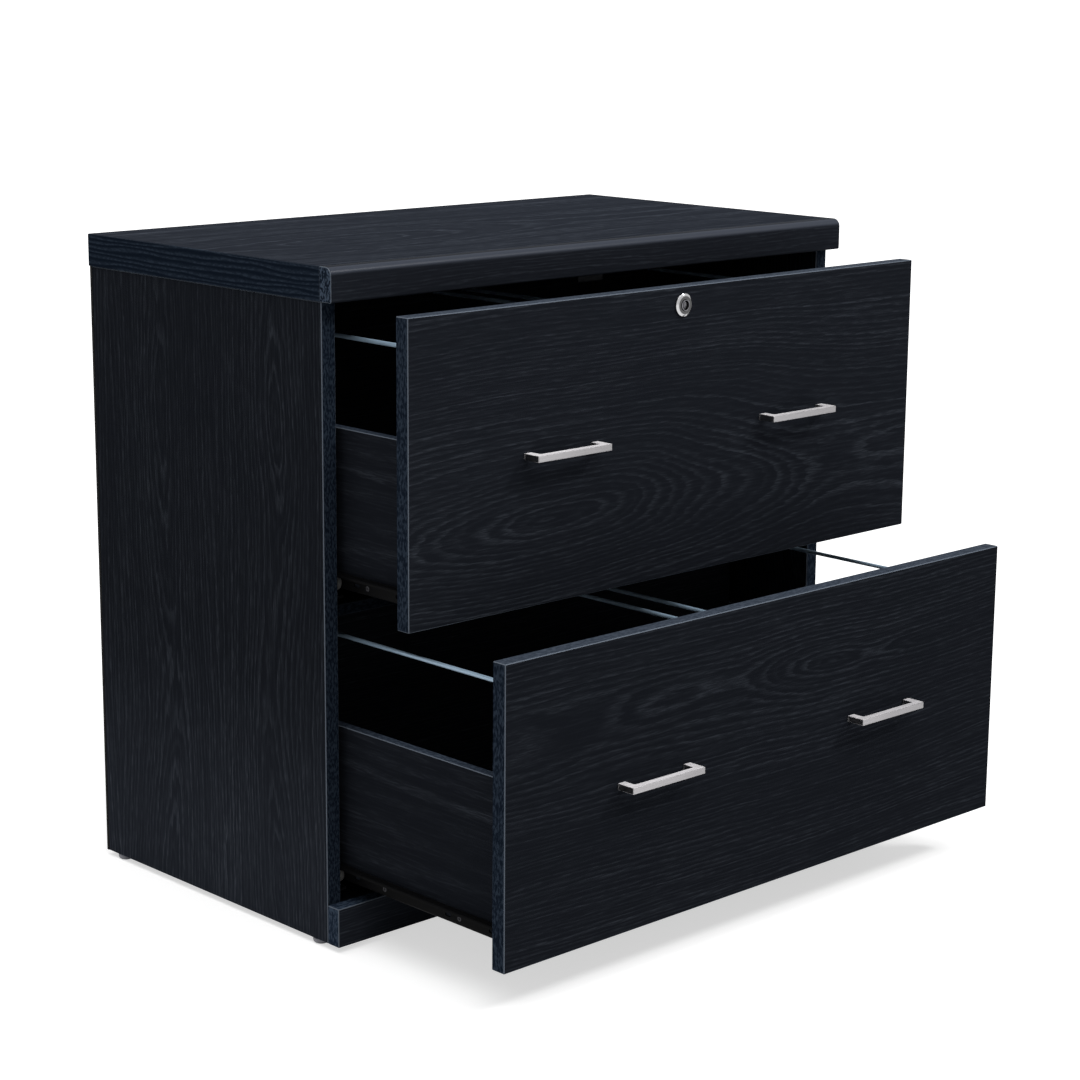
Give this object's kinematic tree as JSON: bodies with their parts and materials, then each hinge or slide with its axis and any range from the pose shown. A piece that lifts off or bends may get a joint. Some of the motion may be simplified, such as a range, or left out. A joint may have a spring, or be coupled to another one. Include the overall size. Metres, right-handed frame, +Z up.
{
  "type": "lateral filing cabinet",
  "caption": "Low, wide filing cabinet in dark wood-grain board with full-width drawers on roller slides, bar handles, rails for hanging folders and a cam lock.",
  "frame": {"origin": "On the floor, under the middle of the cabinet's box with the drawers out as they stand at rest.", "axes": "+Z is up, the drawer fronts face -Y and +X is to the right of someone who faces them."},
  "size_m": [0.784, 0.7046, 0.7266],
  "materials": {
    "oak_board": "blue-black oak-grain laminate on particle board, satin",
    "hardboard": "thin hardboard, black lacquer on the smooth face",
    "black_steel": "black powder-coated rolled steel",
    "rail_steel": "bright drawn steel rod",
    "satin_nickel": "satin nickel plate",
    "lock_chrome": "polished chrome plate",
    "zinc_steel": "zinc-plated steel",
    "nylon": "off-white nylon",
    "glide_plastic": "grey moulded plastic"
  },
  "bodies": {
    "carcase": {"top_panel": "oak_board", "top_nosing": "oak_board", "bottom_panel": "oak_board", "plinth": "oak_board", "back_panel": "hardboard", "mid_rail": "oak_board", "lock_strike": "zinc_steel", "side_panel_left": "oak_board", "side_panel_right": "oak_board", "glide_front_left": "glide_plastic", "glide_back_left": "glide_plastic", "glide_front_right": "glide_plastic", "glide_back_right": "glide_plastic", "upper_drawer_channel_left": "black_steel", "upper_drawer_channel_right": "black_steel", "lower_drawer_channel_left": "black_steel", "lower_drawer_channel_right": "black_steel"},
    "upper_drawer": {"upper_drawer_front": "oak_board", "upper_drawer_back": "oak_board", "upper_drawer_bottom": "hardboard", "upper_drawer_side_left": "oak_board", "upper_drawer_side_right": "oak_board", "upper_drawer_slide_left": "black_steel", "upper_drawer_slide_right": "black_steel", "upper_drawer_handle_left": "satin_nickel", "upper_drawer_handle_right": "satin_nickel", "upper_drawer_file_rail_left": "rail_steel", "upper_drawer_file_rail_middle_left": "rail_steel", "upper_drawer_file_rail_middle_right": "rail_steel", "upper_drawer_file_rail_right": "rail_steel", "lock_housing": "lock_chrome", "lock_nut": "zinc_steel"},
    "lower_drawer": {"lower_drawer_front": "oak_board", "lower_drawer_back": "oak_board", "lower_drawer_bottom": "hardboard", "lower_drawer_side_left": "oak_board", "lower_drawer_side_right": "oak_board", "lower_drawer_slide_left": "black_steel", "lower_drawer_slide_right": "black_steel", "lower_drawer_handle_left": "satin_nickel", "lower_drawer_handle_right": "satin_nickel", "lower_drawer_file_rail_left": "rail_steel", "lower_drawer_file_rail_middle_left": "rail_steel", "lower_drawer_file_rail_middle_right": "rail_steel", "lower_drawer_file_rail_right": "rail_steel"},
    "lock_core": {"lock_plug": "lock_chrome", "lock_cam": "zinc_steel"},
    "upper_drawer_front_roller_left": {"upper_drawer_front_roller_left": "nylon"},
    "upper_drawer_front_roller_right": {"upper_drawer_front_roller_right": "nylon"},
    "upper_drawer_rear_roller_left": {"upper_drawer_rear_roller_left": "nylon"},
    "upper_drawer_rear_roller_right": {"upper_drawer_rear_roller_right": "nylon"},
    "lower_drawer_front_roller_left": {"lower_drawer_front_roller_left": "nylon"},
    "lower_drawer_front_roller_right": {"lower_drawer_front_roller_right": "nylon"},
    "lower_drawer_rear_roller_left": {"lower_drawer_rear_roller_left": "nylon"},
    "lower_drawer_rear_roller_right": {"lower_drawer_rear_roller_right": "nylon"}
  },
  "joints": [
    {"name": "upper_drawer_slide_out", "type": "slide", "parent": "carcase", "child": "upper_drawer", "axis": [0, -1, 0], "range_m": [-0.112, 0.1545]},
    {"name": "upper_drawer_front_roller_left_spin", "type": "hinge", "parent": "carcase", "child": "upper_drawer_front_roller_left", "pos_m": [-0.3651, -0.0425, 0.39495], "axis": [1, 0, 0], "range_deg": [-715, 985]},
    {"name": "upper_drawer_front_roller_right_spin", "type": "hinge", "parent": "carcase", "child": "upper_drawer_front_roller_right", "pos_m": [0.3651, -0.0425, 0.39495], "axis": [1, 0, 0], "range_deg": [-715, 985]},
    {"name": "upper_drawer_rear_roller_left_spin", "type": "hinge", "parent": "upper_drawer", "child": "upper_drawer_rear_roller_left", "pos_m": [-0.3667, 0.1695, 0.39035], "axis": [1, 0, 0], "range_deg": [-715, 985]},
    {"name": "upper_drawer_rear_roller_right_spin", "type": "hinge", "parent": "upper_drawer", "child": "upper_drawer_rear_roller_right", "pos_m": [0.3667, 0.1695, 0.39035], "axis": [1, 0, 0], "range_deg": [-715, 985]},
    {"name": "lower_drawer_slide_out", "type": "slide", "parent": "carcase", "child": "lower_drawer", "axis": [0, -1, 0], "range_m": [-0.2535, 0.013]},
    {"name": "lower_drawer_front_roller_left_spin", "type": "hinge", "parent": "carcase", "child": "lower_drawer_front_roller_left", "pos_m": [-0.3651, -0.0425, 0.0758], "axis": [1, 0, 0], "range_deg": [-1615, 84]},
    {"name": "lower_drawer_front_roller_right_spin", "type": "hinge", "parent": "carcase", "child": "lower_drawer_front_roller_right", "pos_m": [0.3651, -0.0425, 0.0758], "axis": [1, 0, 0], "range_deg": [-1615, 84]},
    {"name": "lower_drawer_rear_roller_left_spin", "type": "hinge", "parent": "lower_drawer", "child": "lower_drawer_rear_roller_left", "pos_m": [-0.3667, 0.028, 0.0712], "axis": [1, 0, 0], "range_deg": [-1615, 84]},
    {"name": "lower_drawer_rear_roller_right_spin", "type": "hinge", "parent": "lower_drawer", "child": "lower_drawer_rear_roller_right", "pos_m": [0.3667, 0.028, 0.0712], "axis": [1, 0, 0], "range_deg": [-1615, 84]},
    {"name": "lock_turn", "type": "hinge", "parent": "upper_drawer", "child": "lock_core", "pos_m": [0, -0.1731, 0.6676], "axis": [0, -1, 0], "range_deg": [0, 90]}
  ],
  "couplings": [
    {"joint": "upper_drawer_front_roller_left_spin", "follows": "upper_drawer_slide_out", "rad_per_m": 111.11},
    {"joint": "upper_drawer_front_roller_right_spin", "follows": "upper_drawer_slide_out", "rad_per_m": 111.11},
    {"joint": "upper_drawer_rear_roller_left_spin", "follows": "upper_drawer_slide_out", "rad_per_m": 111.11},
    {"joint": "upper_drawer_rear_roller_right_spin", "follows": "upper_drawer_slide_out", "rad_per_m": 111.11},
    {"joint": "lower_drawer_front_roller_left_spin", "follows": "lower_drawer_slide_out", "rad_per_m": 111.11},
    {"joint": "lower_drawer_front_roller_right_spin", "follows": "lower_drawer_slide_out", "rad_per_m": 111.11},
    {"joint": "lower_drawer_rear_roller_left_spin", "follows": "lower_drawer_slide_out", "rad_per_m": 111.11},
    {"joint": "lower_drawer_rear_roller_right_spin", "follows": "lower_drawer_slide_out", "rad_per_m": 111.11}
  ]
}
